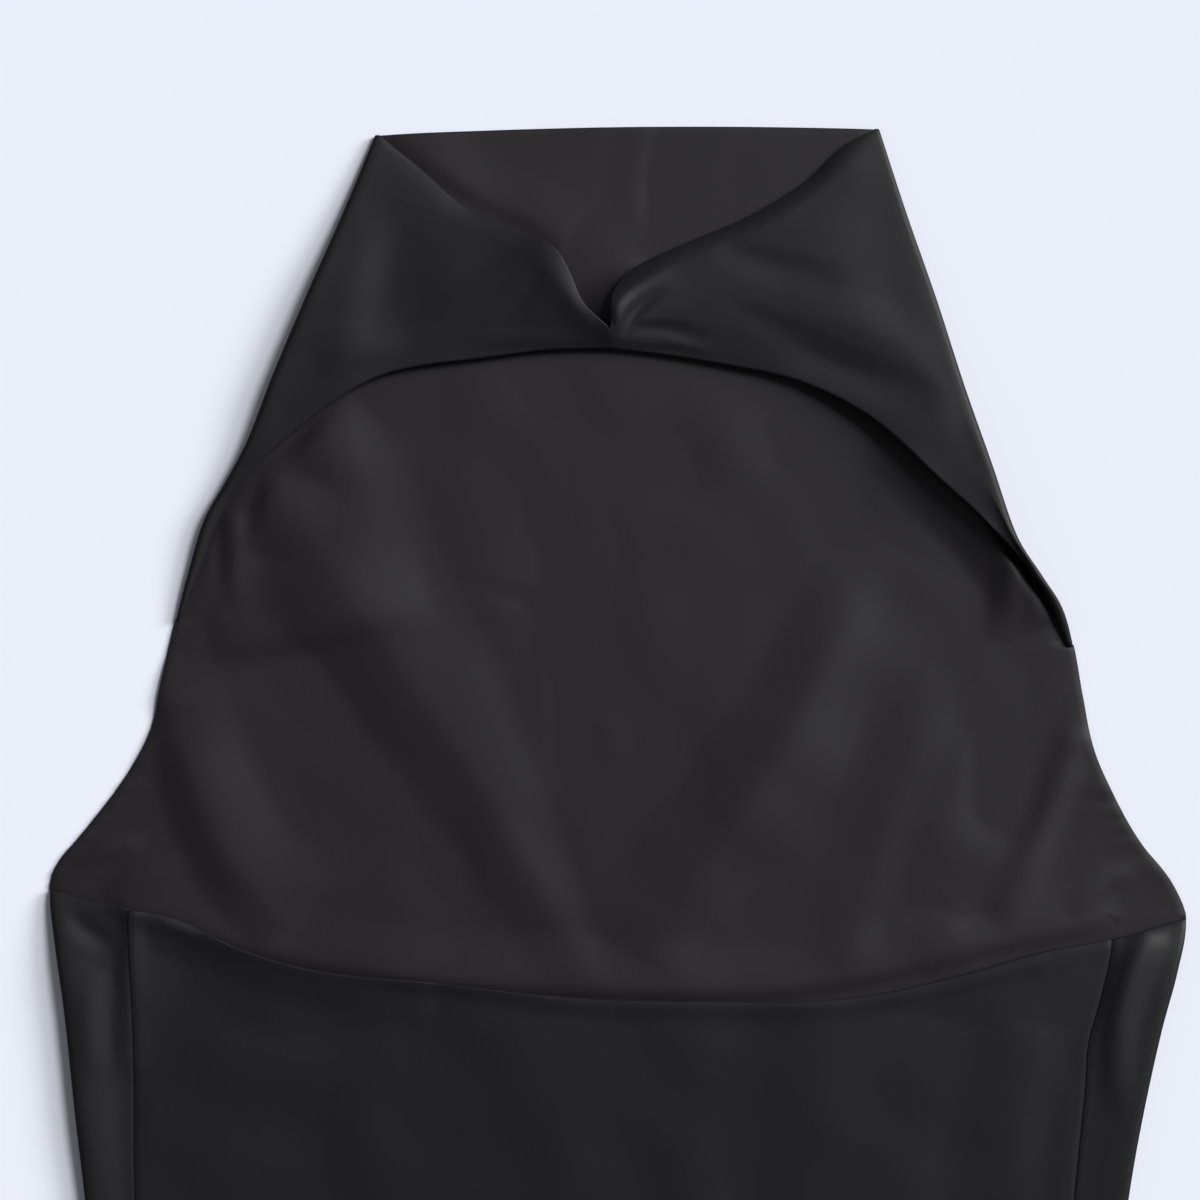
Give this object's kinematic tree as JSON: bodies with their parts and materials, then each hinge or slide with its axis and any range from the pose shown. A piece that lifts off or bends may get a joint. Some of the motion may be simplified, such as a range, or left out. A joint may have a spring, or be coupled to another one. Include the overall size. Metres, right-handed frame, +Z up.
{
  "type": "halter neck dress",
  "caption": "Backless halter neck dress in dark satin, laid flat on its front, with its halter ends drawn into a small knot at the back of the neck.",
  "frame": {"origin": "middle of the box that holds the dress, at the level of the surface that it lies on", "axes": "+Y along the dress from the hem to the neck, +X to the side that shows on the right when the open back is seen from above, +Z up"},
  "size_m": [0.5, 1.1502, 0.0124],
  "materials": {
    "satin": "soft black satin with a fine smooth weave and a low wide sheen"
  },
  "bodies": {
    "root": {"front": "satin", "back": "satin"}
  },
  "joints": []
}
